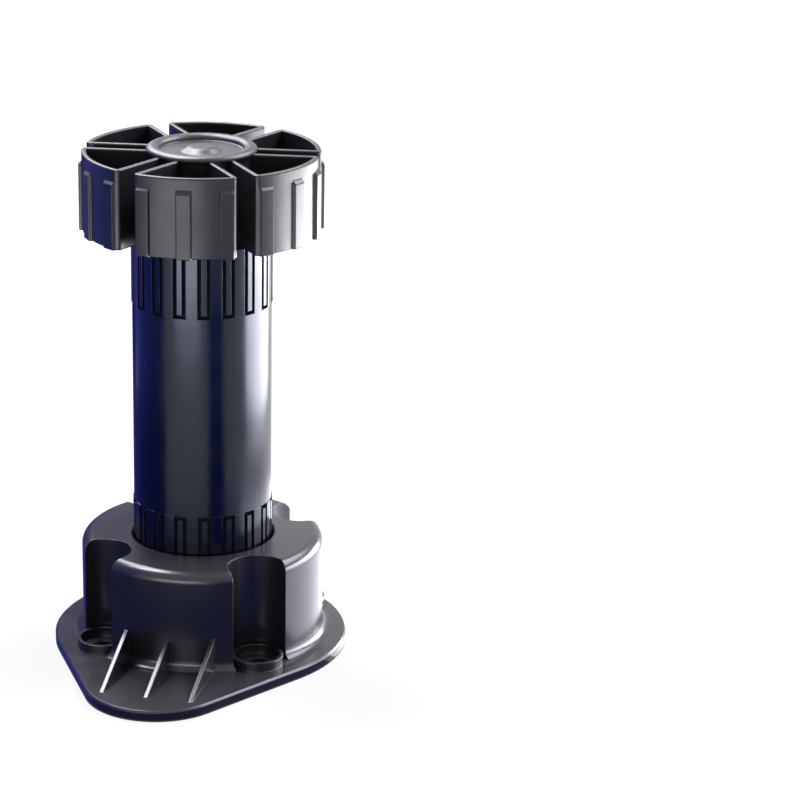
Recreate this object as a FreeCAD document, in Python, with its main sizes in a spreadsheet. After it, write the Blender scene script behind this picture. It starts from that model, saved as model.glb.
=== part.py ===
"""Adjustable plastic leg for kitchen and furniture plinths, in three moulded pieces.

The leg is drawn as it stands on its mounting plate: +Z runs from the plate to the adjusting
foot, the origin lies on the leg's axis in the plate's fixing face, and the plate's nose
points to -Y. All lengths are in millimetres.
"""

import FreeCAD, Part
import math
import os
import Sketcher

VECTOR = FreeCAD.Vector

# Sizes: name, number, what it is
SIZES = [
    ("tube_radius", 17.3, "outer radius of the plain middle of the tube"),
    ("tube_length", 104.0, "length of the tube, end to end"),
    ("tube_wall", 2.6, "wall of the tube"),
    ("tube_angle", -1.5, "angle of the tube about its axis, degrees"),
    ("band_step", 0.2, "how far the two ribbed bands stand out from the tube"),
    ("band_slope", 0.4, "height of the step that leads from a band to the tube"),
    ("lower_band", 35.5, "length of the band that is pushed into the socket"),
    ("upper_band", 17.2, "length of the band under the foot"),
    ("tongue_count", 18, "tongues round each band"),
    ("tongue_width", 1.4, "width of the tongue inside each groove"),
    ("groove_width", 0.9, "width of the groove round a tongue"),
    ("groove_depth", 0.8, "depth of the groove, from the band"),
    ("thread_gap", 0.3, "radial gap between the spindle and the tube's inside"),
    ("socket_gap", 0.3, "radial gap between the tube's band and the socket"),
    ("socket_floor", 2.6, "thickness of the floor under the tube"),
    ("socket_wall", 2.0, "wall round the socket, inside the cup"),
    ("cup_height", 28.3, "height of the cup's top above the fixing face"),
    ("cup_wall", 2.0, "outer wall of the cup"),
    ("cup_top_wall", 2.4, "thickness of the cup's top"),
    ("cup_shoulder", 2.8, "radius of the cup's shoulder, drawn as three straight faces"),
    ("cup_root", 1.3, "slope between the cup and the plate"),
    ("rim_chamfer", 0.5, "chamfer round the mouth of the socket"),
    ("pocket_radius", 7.35, "radius of the four screw pockets"),
    ("pocket_wall", 3.25, "thickness left between a screw pocket and the socket"),
    ("pocket_side_wall", 1.6, "wall beside a screw pocket, seen from below"),
    ("screw_inset", 2.1, "distance of a screw's axis inside the cup's outer wall"),
    ("collar_radius", 6.5, "outer radius of the collar round a screw hole"),
    ("collar_height", 2.3, "height of that collar above the plate"),
    ("collar_wall", 0.9, "wall of that collar"),
    ("screw_hole", 2.25, "radius of the screw holes"),
    ("plate_thickness", 2.7, "thickness of the plate"),
    ("plate_shift", 1.7, "distance of the plate's round part from the leg's axis"),
    ("plate_margin", 4.85, "plate left behind the cup, opposite the nose"),
    ("plate_edge", 0.45, "chamfer on the plate's upper edge"),
    ("nose_length", 25.4, "reach of the nose beyond the cup"),
    ("nose_radius", 18.2, "radius of the nose"),
    ("gusset_pitch", 11.2, "distance between the three gussets"),
    ("gusset_width", 1.0, "thickness of a gusset"),
    ("gusset_length", 17.5, "reach of a gusset beyond the cup"),
    ("gusset_height", 7.5, "height of the middle gusset above the plate, at the cup"),
    ("foot_radius", 29.2, "radius of the foot between its grip pads"),
    ("foot_height", 19.8, "height of the foot's six lobes"),
    ("foot_floor", 1.8, "thickness of the floor of the lobes"),
    ("foot_wall", 1.25, "walls of the lobes"),
    ("foot_angle", -81.5, "angle of the first lobe about the leg's axis, degrees"),
    ("foot_gap", 1.2, "gap between the foot and the tube when it is screwed right in"),
    ("lobe_rounding", 1.2, "rounding of the lobes' outer corners"),
    ("slot_width", 4.4, "width of the slots between the lobes"),
    ("grip_count", 18, "grip pads round the foot"),
    ("grip_width", 3.5, "width of a grip pad"),
    ("grip_height", 0.8, "how far a grip pad stands out"),
    ("grip_drop", 3.0, "distance from the lobe's edge down to its grip pads"),
    ("hub_radius", 12.9, "radius of the foot's hub between the lobes"),
    ("hub_lip", 0.75, "how far the hub's ring stands out over the hub"),
    ("hub_rise", 1.15, "height of the hub's ring above the lobes"),
    ("hub_ring", 3.4, "width of the hub's ring"),
    ("ring_slope", 1.0, "width of the sloping sides of the hub's ring"),
    ("dish_depth", 1.5, "depth of the dish inside the ring"),
    ("dish_floor", 1.8, "thickness of the dish's floor"),
    ("dome_radius", 5.0, "radius of the boss in the middle of the dish"),
    ("dome_height", 1.1, "height of that boss"),
    ("dome_slope", 1.9, "width of its sloping side"),
    ("spindle_length", 45.0, "length of the foot's spindle"),
    ("spindle_wall", 3.8, "wall of the hollow spindle, with its thread"),
]


class Length:
    """A number together with its formula in the sheet, so that each relation is written once."""

    def __init__(self, number, formula):
        self.number = number
        self.formula = formula

    def __add__(self, other):
        other = length(other)
        return Length(self.number + other.number, f"({self.formula} + {other.formula})")

    def __sub__(self, other):
        other = length(other)
        return Length(self.number - other.number, f"({self.formula} - {other.formula})")

    def __mul__(self, factor):
        return Length(self.number * factor, f"({self.formula} * {factor})")

    def __truediv__(self, factor):
        return Length(self.number / factor, f"({self.formula} / {factor})")

    def __neg__(self):
        return Length(-self.number, f"(0 - {self.formula})")


def length(value):
    return value if isinstance(value, Length) else Length(value, str(value))


doc = FreeCAD.newDocument("FurnitureLeg")
sheet = doc.addObject("Spreadsheet::Sheet", "Sizes")
size = {}
for row, (name, number, note) in enumerate(SIZES, start=1):
    sheet.set(f"A{row}", note)
    sheet.set(f"B{row}", str(number))
    sheet.setAlias(f"B{row}", name)
    size[name] = Length(number, f"Sizes.{name}")
doc.recompute()

# Sizes that follow from those in the sheet
band_radius = size["tube_radius"] + size["band_step"]
socket_radius = band_radius + size["socket_gap"]
screw_circle = socket_radius + size["pocket_wall"] + size["pocket_radius"]
cup_radius = screw_circle + size["screw_inset"]
plate_radius = cup_radius + size["plate_margin"] + size["plate_shift"]
nose_centre = cup_radius + size["nose_length"] - size["nose_radius"]
inner_radius = size["tube_radius"] - size["tube_wall"]
spindle_radius = inner_radius - size["thread_gap"]
hub_height = size["foot_height"] + size["hub_rise"]
ring_radius = size["hub_radius"] + size["hub_lip"]
dish_radius = ring_radius - size["hub_ring"]


def new_body(name):
    body = doc.addObject("PartDesign::Body", name)
    body.Label = name
    return body


def origin_part(body, role):
    return next(item for item in body.Origin.OriginFeatures if item.Role == role)


def new_sketch(body, name, role, lift=None, turn=None):
    """A sketch on one of the body's own planes, raised by lift and turned by an angle."""
    sketch = body.newObject("Sketcher::SketchObject", name)
    sketch.AttachmentSupport = [(origin_part(body, role), "")]
    sketch.MapMode = "FlatFace"
    if turn is not None:
        sketch.AttachmentOffset = FreeCAD.Placement(VECTOR(0, 0, 0), FreeCAD.Rotation(VECTOR(0, 0, 1), turn))
    if lift is not None:
        sketch.setExpression("AttachmentOffset.Base.z", lift.formula)
    return sketch


def constrain(sketch, kind, *where, size_of=None):
    """Add a constraint and, where it has a size, bind it to its formula."""
    if size_of is None:
        sketch.addConstraint(Sketcher.Constraint(kind, *where))
        return
    index = sketch.addConstraint(Sketcher.Constraint(kind, *where, size_of.number))
    sketch.setExpression(f"Constraints[{index}]", size_of.formula)


def set_point(sketch, edge, end, x, y):
    """Place one end of an edge by its two distances from the sketch's origin."""
    for kind, axis, value in (("DistanceX", -2, length(x)), ("DistanceY", -1, length(y))):
        if value.formula == "0":
            constrain(sketch, "PointOnObject", edge, end, axis)
        else:
            constrain(sketch, kind, -1, 1, edge, end, size_of=value)


def draw_polygon(sketch, corners):
    """A closed outline of straight lines."""
    points = [VECTOR(length(x).number, length(y).number, 0) for x, y in corners]
    count = len(points)
    for i in range(count):
        sketch.addGeometry(Part.LineSegment(points[i], points[(i + 1) % count]))
    for i in range(count):
        constrain(sketch, "Coincident", i, 2, (i + 1) % count, 1)
    for i, (x, y) in enumerate(corners):
        set_point(sketch, i, 1, x, y)


def draw_circle(sketch, x, radius):
    """A circle whose centre lies on the sketch's X axis."""
    x = length(x)
    edge = sketch.addGeometry(Part.Circle(VECTOR(x.number, 0, 0), VECTOR(0, 0, 1), radius.number))
    set_point(sketch, edge, 3, x, 0)
    constrain(sketch, "Radius", edge, size_of=radius)


def arc_between(centre, start, end):
    """The arc round centre that runs counterclockwise from start to end."""
    first = math.atan2(start.y - centre.y, start.x - centre.x)
    last = math.atan2(end.y - centre.y, end.x - centre.x)
    circle = Part.Circle(centre, VECTOR(0, 0, 1), start.distanceToPoint(centre))
    return Part.ArcOfCircle(circle, first, last)


def draw_cell(sketch, half_angle, side, inner, outer):
    """A sector about the X axis: two arcs round the origin and two sides parallel to the rays
    at plus and minus half_angle, each at the distance side inside its ray."""
    turn = math.radians(half_angle)

    def corner(radius, sign):
        along = math.sqrt(radius.number**2 - side.number**2)
        x = along * math.cos(turn) + side.number * math.sin(turn)
        y = along * math.sin(turn) - side.number * math.cos(turn)
        return VECTOR(x, sign * y, 0)

    zero = VECTOR(0, 0, 0)
    sketch.addGeometry(arc_between(zero, corner(outer, -1), corner(outer, 1)))
    sketch.addGeometry(Part.LineSegment(corner(outer, 1), corner(inner, 1)))
    sketch.addGeometry(arc_between(zero, corner(inner, -1), corner(inner, 1)))
    sketch.addGeometry(Part.LineSegment(corner(inner, -1), corner(outer, -1)))
    constrain(sketch, "Coincident", 0, 3, -1, 1)
    constrain(sketch, "Coincident", 2, 3, -1, 1)
    constrain(sketch, "Coincident", 0, 2, 1, 1)
    constrain(sketch, "Coincident", 1, 2, 2, 2)
    constrain(sketch, "Coincident", 2, 1, 3, 1)
    constrain(sketch, "Coincident", 3, 2, 0, 1)
    constrain(sketch, "Radius", 0, size_of=outer)
    constrain(sketch, "Radius", 2, size_of=inner)
    constrain(sketch, "Distance", -1, 1, 1, size_of=side)
    constrain(sketch, "Distance", -1, 1, 3, size_of=side)
    constrain(sketch, "Angle", -1, 1, 1, 2, size_of=Length(turn, f"{half_angle} deg"))
    constrain(sketch, "Angle", 3, 1, -1, 1, size_of=Length(turn, f"{half_angle} deg"))


def add_feature(body, kind, name, sketch, reach=None, **settings):
    """A feature made from a sketch; reach is its length, if it has one."""
    feature = body.newObject(f"PartDesign::{kind}", name)
    feature.Profile = sketch
    if reach is not None:
        feature.setExpression("Length", length(reach).formula)
    for key, value in settings.items():
        setattr(feature, key, value)
    sketch.Visibility = False
    return feature


def turn_round(body, kind, name, sketch):
    """A full turn of a sketch round the body's Z axis."""
    return add_feature(body, kind, name, sketch, ReferenceAxis=(sketch, ["V_Axis"]), Angle=360)


def repeat_round(body, name, features, count):
    """Copies of the features round the body's Z axis."""
    pattern = body.newObject("PartDesign::PolarPattern", name)
    pattern.Originals = features
    pattern.Axis = (origin_part(body, "Z_Axis"), [""])
    pattern.Angle = 360
    if isinstance(count, Length):
        pattern.setExpression("Occurrences", count.formula)
    else:
        pattern.Occurrences = count
    body.Tip = pattern
    return pattern


def round_edges(body, kind, name, amount, wanted):
    """A fillet or chamfer on every edge of the body, so far, that wanted(edge) accepts."""
    doc.recompute()
    base = body.Tip
    names = [f"Edge{i}" for i, edge in enumerate(base.Shape.Edges, start=1) if wanted(edge)]
    if not names:
        raise RuntimeError(f"{name}: no edge found")
    feature = body.newObject(f"PartDesign::{kind}", name)
    feature.Base = (base, names)
    feature.setExpression("Radius" if kind == "Fillet" else "Size", amount.formula)
    body.Tip = feature
    return feature


def near(one, other):
    return abs(one - other) < 0.01


def is_ring(edge, radius, height):
    """Whether an edge is a level circle, or part of one, round the axis at this height."""
    curve = edge.Curve
    return (
        isinstance(curve, Part.Circle)
        and near(curve.Radius, radius.number)
        and near(curve.Center.x, 0)
        and near(curve.Center.y, 0)
        and near(curve.Center.z, length(height).number)
        and abs(curve.Axis.z) > 0.99
    )


def is_upright(edge, radius):
    """Whether an edge is an upright line at this distance from the axis."""
    first = edge.Vertexes[0].Point
    last = edge.Vertexes[-1].Point
    return (
        isinstance(edge.Curve, Part.Line)
        and near(first.x, last.x)
        and near(first.y, last.y)
        and near(math.hypot(first.x, first.y), radius.number)
    )


# Mounting plate: a flat plate with a nose, seen from above as the hull of two circles
plate = new_body("mounting_plate")
outline = new_sketch(plate, "PlateOutline", "XY_Plane")
spread = nose_centre.number - size["plate_shift"].number
lean = math.asin((plate_radius.number - size["nose_radius"].number) / spread)
round_centre = VECTOR(0, -size["plate_shift"].number, 0)
nose_middle = VECTOR(0, -nose_centre.number, 0)
right = VECTOR(math.cos(lean), -math.sin(lean), 0)
left = VECTOR(-math.cos(lean), -math.sin(lean), 0)
round_right = round_centre + right * plate_radius.number
round_left = round_centre + left * plate_radius.number
nose_right = nose_middle + right * size["nose_radius"].number
nose_left = nose_middle + left * size["nose_radius"].number
outline.addGeometry(arc_between(round_centre, round_right, round_left))
outline.addGeometry(Part.LineSegment(round_left, nose_left))
outline.addGeometry(arc_between(nose_middle, nose_left, nose_right))
outline.addGeometry(Part.LineSegment(nose_right, round_right))
set_point(outline, 0, 3, 0, -size["plate_shift"])
set_point(outline, 2, 3, 0, -nose_centre)
constrain(outline, "Radius", 0, size_of=plate_radius)
constrain(outline, "Radius", 2, size_of=size["nose_radius"])
constrain(outline, "Tangent", 0, 2, 1, 1)
constrain(outline, "Tangent", 1, 2, 2, 1)
constrain(outline, "Tangent", 2, 2, 3, 1)
constrain(outline, "Tangent", 3, 2, 0, 1)
add_feature(plate, "Pad", "Plate", outline, size["plate_thickness"])


def on_outline(edge):
    """The plate's upper edge, which is all there is at that height before the cup is added."""
    return all(near(vertex.Z, size["plate_thickness"].number) for vertex in edge.Vertexes)


round_edges(plate, "Chamfer", "PlateEdge", size["plate_edge"], on_outline)

# The cup: one turned section, with a slope at its foot and a shoulder of three straight faces
shoulder = size["cup_shoulder"]


def shoulder_corner(angle):
    """A corner of the shoulder, on a circle at this angle above the level."""
    turn = math.radians(angle)
    across = shoulder.number * (1 - math.cos(turn))
    below = shoulder.number * (1 - math.sin(turn))
    return (
        cup_radius - Length(across, f"({shoulder.formula} * (1 - cos({angle} deg)))"),
        size["cup_height"] - Length(below, f"({shoulder.formula} * (1 - sin({angle} deg)))"),
    )


cup_section = new_sketch(plate, "CupSection", "XZ_Plane")
draw_polygon(
    cup_section,
    [
        (0, size["plate_thickness"] / 2),
        (cup_radius + size["cup_root"], size["plate_thickness"] / 2),
        (cup_radius + size["cup_root"], size["plate_thickness"]),
        (cup_radius, size["plate_thickness"] + size["cup_root"]),
        (cup_radius, size["cup_height"] - shoulder),
        shoulder_corner(30),
        shoulder_corner(60),
        (cup_radius - shoulder, size["cup_height"]),
        (0, size["cup_height"]),
    ],
)
turn_round(plate, "Revolution", "Cup", cup_section)

# Three gussets between the cup and the nose
gusset_plan = new_sketch(plate, "GussetPlan", "YZ_Plane", lift=-size["gusset_pitch"])
gusset_back = cup_radius - size["cup_wall"] * 1.5
gusset_tip = cup_radius + size["gusset_length"]
slope = size["gusset_height"].number / size["gusset_length"].number
gusset_top = Length(
    size["plate_thickness"].number + slope * (gusset_tip.number - gusset_back.number),
    "(Sizes.plate_thickness + Sizes.gusset_height / Sizes.gusset_length"
    f" * ({gusset_tip.formula} - {gusset_back.formula}))",
)
gusset_root = size["plate_thickness"] / 2
draw_polygon(
    gusset_plan,
    [
        (-gusset_tip, gusset_root),
        (-gusset_back, gusset_root),
        (-gusset_back, gusset_top),
        (-gusset_tip, size["plate_thickness"]),
    ],
)
gusset = add_feature(plate, "Pad", "Gusset", gusset_plan, size["gusset_width"], Midplane=True)
gussets = plate.newObject("PartDesign::LinearPattern", "Gussets")
gussets.Originals = [gusset]
gussets.Direction = (origin_part(plate, "X_Axis"), [""])
gussets.setExpression("Length", (size["gusset_pitch"] * 2).formula)
gussets.Occurrences = 3
plate.Tip = gussets

# The underside of the cup is hollow between the screw pockets
hollow = new_sketch(plate, "UndersideHollow", "XY_Plane")
hollow_side = size["pocket_radius"] + size["pocket_side_wall"]
draw_cell(hollow, 45, hollow_side, socket_radius + size["socket_wall"], cup_radius - size["cup_wall"])
hollow_depth = size["cup_height"] - size["cup_top_wall"]
hollow_cut = add_feature(plate, "Pocket", "Hollow", hollow, hollow_depth, Reversed=True)
repeat_round(plate, "Hollows", [hollow_cut], 4)

# The socket that takes the tube
socket_plan = new_sketch(plate, "SocketPlan", "XY_Plane", lift=size["socket_floor"])
draw_circle(socket_plan, 0, socket_radius)
add_feature(plate, "Pocket", "Socket", socket_plan, size["cup_height"], Reversed=True)
round_edges(
    plate,
    "Chamfer",
    "SocketMouth",
    size["rim_chamfer"],
    lambda edge: is_ring(edge, socket_radius, size["cup_height"]),
)

# Four screw pockets at 45 degrees to the nose, open to the outside, each with a low collar
# round its screw hole
pocket_plan = new_sketch(plate, "PocketPlan", "XY_Plane", lift=size["plate_thickness"], turn=45)
pocket_end = cup_radius + size["pocket_radius"]
axis_point = VECTOR(screw_circle.number, 0, 0)
upper_start = VECTOR(screw_circle.number, size["pocket_radius"].number, 0)
lower_start = VECTOR(screw_circle.number, -size["pocket_radius"].number, 0)
upper_end = VECTOR(pocket_end.number, size["pocket_radius"].number, 0)
lower_end = VECTOR(pocket_end.number, -size["pocket_radius"].number, 0)
pocket_plan.addGeometry(arc_between(axis_point, upper_start, lower_start))
pocket_plan.addGeometry(Part.LineSegment(lower_start, lower_end))
pocket_plan.addGeometry(Part.LineSegment(lower_end, upper_end))
pocket_plan.addGeometry(Part.LineSegment(upper_end, upper_start))
set_point(pocket_plan, 0, 3, screw_circle, 0)
constrain(pocket_plan, "Radius", 0, size_of=size["pocket_radius"])
constrain(pocket_plan, "Tangent", 0, 2, 1, 1)
constrain(pocket_plan, "Coincident", 1, 2, 2, 1)
constrain(pocket_plan, "Coincident", 2, 2, 3, 1)
constrain(pocket_plan, "Tangent", 3, 2, 0, 1)
constrain(pocket_plan, "Horizontal", 1)
constrain(pocket_plan, "Vertical", 2)
constrain(pocket_plan, "DistanceX", -1, 1, 2, 1, size_of=pocket_end)
pocket = add_feature(plate, "Pocket", "ScrewPocket", pocket_plan, size["cup_height"], Reversed=True)
repeat_round(plate, "ScrewPockets", [pocket], 4)

collar_plan = new_sketch(plate, "CollarPlan", "XY_Plane", turn=45)
draw_circle(collar_plan, screw_circle, size["collar_radius"])
draw_circle(collar_plan, screw_circle, size["collar_radius"] - size["collar_wall"])
collar_top = size["plate_thickness"] + size["collar_height"]
collar = add_feature(plate, "Pad", "ScrewCollar", collar_plan, collar_top)
repeat_round(plate, "ScrewCollars", [collar], 4)

hole_plan = new_sketch(plate, "HolePlan", "XY_Plane", turn=45)
draw_circle(hole_plan, screw_circle, size["screw_hole"])
hole = add_feature(plate, "Pocket", "ScrewHole", hole_plan, size["cup_height"], Reversed=True)
repeat_round(plate, "ScrewHoles", [hole], 4)

# Leg tube: hollow, with a ribbed band at each end. The spindle's thread runs in its wall.
tube = new_body("leg_tube")
tube_section = new_sketch(tube, "TubeSection", "XZ_Plane")
draw_polygon(
    tube_section,
    [
        (inner_radius, 0),
        (band_radius, 0),
        (band_radius, size["lower_band"]),
        (size["tube_radius"], size["lower_band"] + size["band_slope"]),
        (size["tube_radius"], size["tube_length"] - size["upper_band"] - size["band_slope"]),
        (band_radius, size["tube_length"] - size["upper_band"]),
        (band_radius, size["tube_length"]),
        (inner_radius, size["tube_length"]),
    ],
)
turn_round(tube, "Revolution", "Tube", tube_section)

# Tongues: a groove in the shape of a U round each, open at the end of the tube
groove_floor = band_radius - size["groove_depth"]
tongue_side = size["tongue_width"] / 2
groove_side = tongue_side + size["groove_width"]
past_end = size["tube_length"] + size["groove_width"]
upper_start_z = size["tube_length"] - size["upper_band"]
upper_groove = new_sketch(tube, "UpperGroove", "XZ_Plane", lift=groove_floor)
draw_polygon(
    upper_groove,
    [
        (-groove_side, upper_start_z),
        (groove_side, upper_start_z),
        (groove_side, past_end),
        (tongue_side, past_end),
        (tongue_side, upper_start_z + size["groove_width"]),
        (-tongue_side, upper_start_z + size["groove_width"]),
        (-tongue_side, past_end),
        (-groove_side, past_end),
    ],
)
upper_cut = add_feature(
    tube, "Pocket", "UpperGrooveCut", upper_groove, size["groove_depth"] * 2, Reversed=True
)
repeat_round(tube, "UpperTongues", [upper_cut], size["tongue_count"])
lower_groove = new_sketch(tube, "LowerGroove", "XZ_Plane", lift=groove_floor)
before_end = -size["groove_width"]
draw_polygon(
    lower_groove,
    [
        (-groove_side, before_end),
        (-tongue_side, before_end),
        (-tongue_side, size["lower_band"] - size["groove_width"]),
        (tongue_side, size["lower_band"] - size["groove_width"]),
        (tongue_side, before_end),
        (groove_side, before_end),
        (groove_side, size["lower_band"]),
        (-groove_side, size["lower_band"]),
    ],
)
lower_cut = add_feature(
    tube, "Pocket", "LowerGrooveCut", lower_groove, size["groove_depth"] * 2, Reversed=True
)
repeat_round(tube, "LowerTongues", [lower_cut], size["tongue_count"])
tube.Placement = FreeCAD.Placement(VECTOR(0, 0, 0), FreeCAD.Rotation(VECTOR(0, 0, 1), 1))
tube.setExpression("Placement.Rotation.Angle", size["tube_angle"].formula)
tube.setExpression("Placement.Base.z", size["socket_floor"].formula)

# Adjusting foot: a disc, its hub with a ring round a dish, and a hollow spindle, turned in one
# section. The ring stands on the floor when the leg is in use.
foot = new_body("adjusting_foot")
foot_section = new_sketch(foot, "FootSection", "XZ_Plane")
core_radius = spindle_radius - size["spindle_wall"]
dish_level = hub_height - size["dish_depth"]
dome_level = dish_level + size["dome_height"]
core_top = dish_level - size["dish_floor"]
draw_polygon(
    foot_section,
    [
        (core_radius, -size["spindle_length"]),
        (spindle_radius, -size["spindle_length"]),
        (spindle_radius, 0),
        (size["foot_radius"], 0),
        (size["foot_radius"], size["foot_height"]),
        (ring_radius, size["foot_height"]),
        (ring_radius - size["ring_slope"], hub_height),
        (dish_radius + size["ring_slope"], hub_height),
        (dish_radius, dish_level),
        (size["dome_radius"], dish_level),
        (size["dome_radius"] - size["dome_slope"], dome_level),
        (0, dome_level),
        (0, core_top),
        (core_radius, core_top),
    ],
)
turn_round(foot, "Revolution", "Disc", foot_section)

# Six slots divide the disc into lobes
slot_plan = new_sketch(foot, "SlotPlan", "XY_Plane", turn=30)
slot_side = size["slot_width"] / 2
slot_end = size["foot_radius"] + size["slot_width"]
draw_polygon(
    slot_plan,
    [
        (size["hub_radius"], -slot_side),
        (slot_end, -slot_side),
        (slot_end, slot_side),
        (size["hub_radius"], slot_side),
    ],
)
slot = add_feature(foot, "Pocket", "Slot", slot_plan, size["foot_height"], Reversed=True)
repeat_round(foot, "Slots", [slot], 6)
round_edges(
    foot,
    "Fillet",
    "LobeRounding",
    size["lobe_rounding"],
    lambda edge: is_upright(edge, size["foot_radius"]),
)

# Each lobe is a cell, open at the sole
cell_plan = new_sketch(foot, "CellPlan", "XY_Plane", lift=size["foot_floor"])
cell_side = slot_side + size["foot_wall"]
cell_radius = size["foot_radius"] - size["foot_wall"]
draw_cell(cell_plan, 30, cell_side, size["hub_radius"], cell_radius)
cell_depth = size["foot_height"] - size["foot_floor"]
cell = add_feature(foot, "Pocket", "Cell", cell_plan, cell_depth, Reversed=True)
repeat_round(foot, "Cells", [cell], 6)

# Grip pads round the lobes, sloped at their upper end
grip_section = new_sketch(foot, "GripSection", "XZ_Plane")
grip_root = size["foot_radius"] - size["foot_wall"] / 2
grip_face = size["foot_radius"] + size["grip_height"]
grip_top = size["foot_height"] - size["grip_drop"]
draw_polygon(
    grip_section,
    [
        (grip_root, 0),
        (grip_face, 0),
        (grip_face, grip_top - size["grip_height"]),
        (size["foot_radius"], grip_top),
        (grip_root, grip_top),
    ],
)
grip = add_feature(foot, "Pad", "GripPad", grip_section, size["grip_width"], Midplane=True)
repeat_round(foot, "GripPads", [grip], size["grip_count"])

foot_level = size["socket_floor"] + size["tube_length"] + size["foot_gap"]
foot.Placement = FreeCAD.Placement(VECTOR(0, 0, 0), FreeCAD.Rotation(VECTOR(0, 0, 1), 1))
foot.setExpression("Placement.Rotation.Angle", size["foot_angle"].formula)
foot.setExpression("Placement.Base.z", foot_level.formula)

doc.recompute()

# Nothing is written unless every object is sound
for item in doc.Objects:
    if "Invalid" in item.State or "Error" in item.State:
        raise RuntimeError(f"{item.Label} did not build: {item.State}")
bodies = [plate, tube, foot]
for body in bodies:
    if body.Shape.isNull() or not body.Shape.isValid() or len(body.Shape.Solids) != 1:
        raise RuntimeError(f"{body.Label} is not one valid solid")
os.makedirs("parts", exist_ok=True)
for body in bodies:
    body.Shape.exportStep(f"parts/{body.Label}.step")
    box = body.Shape.BoundBox
    print(
        f"{body.Label}: {body.Shape.Volume:.0f} cubic mm,"
        f" x {box.XMin:.2f} to {box.XMax:.2f}, y {box.YMin:.2f} to {box.YMax:.2f},"
        f" z {box.ZMin:.2f} to {box.ZMax:.2f}"
    )
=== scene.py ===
# %% [markdown]
# An adjustable plastic leg for furniture plinths, dressed for a photograph. The solids come
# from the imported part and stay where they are. Here they get their finish, and the forms that
# are too fine for the solids: rounded lips, soft grooves and a screw thread. Lengths of the
# leg are written in millimetres and turned into metres where a mesh is made. The studio round
# it and the lengths in the materials are written in metres, as Blender takes them.

import math

import bpy
import numpy as np
from mathutils import Matrix, Vector


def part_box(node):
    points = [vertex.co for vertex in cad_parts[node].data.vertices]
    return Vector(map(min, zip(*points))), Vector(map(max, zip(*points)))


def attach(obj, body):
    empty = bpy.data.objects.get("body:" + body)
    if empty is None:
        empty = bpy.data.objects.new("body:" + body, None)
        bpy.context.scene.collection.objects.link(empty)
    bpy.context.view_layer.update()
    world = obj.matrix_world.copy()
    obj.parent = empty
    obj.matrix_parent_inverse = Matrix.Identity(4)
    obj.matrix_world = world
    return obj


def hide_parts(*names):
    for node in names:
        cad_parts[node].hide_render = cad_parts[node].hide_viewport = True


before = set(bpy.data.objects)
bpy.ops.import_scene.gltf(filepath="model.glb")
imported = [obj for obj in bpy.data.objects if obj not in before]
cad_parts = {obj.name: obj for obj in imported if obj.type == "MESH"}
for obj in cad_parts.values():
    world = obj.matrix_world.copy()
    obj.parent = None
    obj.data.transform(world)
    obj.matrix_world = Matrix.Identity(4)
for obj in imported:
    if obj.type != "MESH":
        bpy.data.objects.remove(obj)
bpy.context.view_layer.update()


# %% [markdown]
# A product photograph of a small thing is taken from some way off with a long lens. A short
# lens from nearby could frame it as well, but then the upright edges would lean. The place and
# the direction are those from which the outlines of the foot, the cup and the plate come out
# as in the photograph.

# %% Camera
CAMERA_PLACE = Vector((0.208377, -0.681569, 0.304012))
CAMERA_FORWARD = Vector((-0.213532, 0.923143, -0.319704))
CAMERA_UP = Vector((-0.090671, 0.307112, 0.947344))
CAMERA_LENS = 135.0
CAMERA_SENSOR = 36.0
LEG_MIDDLE = Vector((0, 0, 0.06))


def add_object(name, data):
    """A new object in the scene that shows a camera, a lamp or a mesh."""
    made = bpy.data.objects.new(name, data)
    bpy.context.scene.collection.objects.link(made)
    return made


camera_data = bpy.data.cameras.new("camera")
camera_data.lens = CAMERA_LENS
camera_data.sensor_width = CAMERA_SENSOR
camera = add_object("camera", camera_data)
camera_right = CAMERA_FORWARD.cross(CAMERA_UP).normalized()
camera_up = camera_right.cross(CAMERA_FORWARD).normalized()
turn = Matrix((camera_right, camera_up, -CAMERA_FORWARD.normalized())).transposed()
camera.matrix_world = Matrix.Translation(CAMERA_PLACE) @ turn.to_4x4()
bpy.context.scene.camera = camera
bpy.context.scene.view_settings.view_transform = "Standard"
print("camera is", round((CAMERA_PLACE - LEG_MIDDLE).length, 3), "m from the leg")


# %% [markdown]
# Black plastic shows little colour of its own: what is seen is the studio, mirrored in it. So
# the lamps matter more than the paint. Two softboxes light the leg, a wide one from behind on
# the right and one from above. Four panels only show in the gloss: they draw the bright right
# side, the grey front and the pale lines on the shoulders. A picture of a studio could light
# the leg too, but lamps near it can be placed for one face at a time.

# %% Lamps
def add_softbox(name, azimuth, distance, height, aim_height, width, tall, brightness):
    """A rectangular lamp round the leg, turned to a point of its axis. The azimuth is in
    degrees from +X, lengths are in metres, and a brightness of 1 is that of white paper."""
    lamp = bpy.data.lights.new(name, "AREA")
    lamp.shape = "RECTANGLE"
    lamp.size = width
    lamp.size_y = tall
    lamp.energy = math.pi * width * tall * brightness
    softbox = add_object(name, lamp)
    softbox.visible_camera = False
    turn = math.radians(azimuth)
    place = Vector((distance * math.cos(turn), distance * math.sin(turn), height))
    aim = (Vector((0, 0, aim_height)) - place).to_track_quat("-Z", "Y")
    softbox.matrix_world = Matrix.Translation(place) @ aim.to_matrix().to_4x4()
    return softbox


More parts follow.
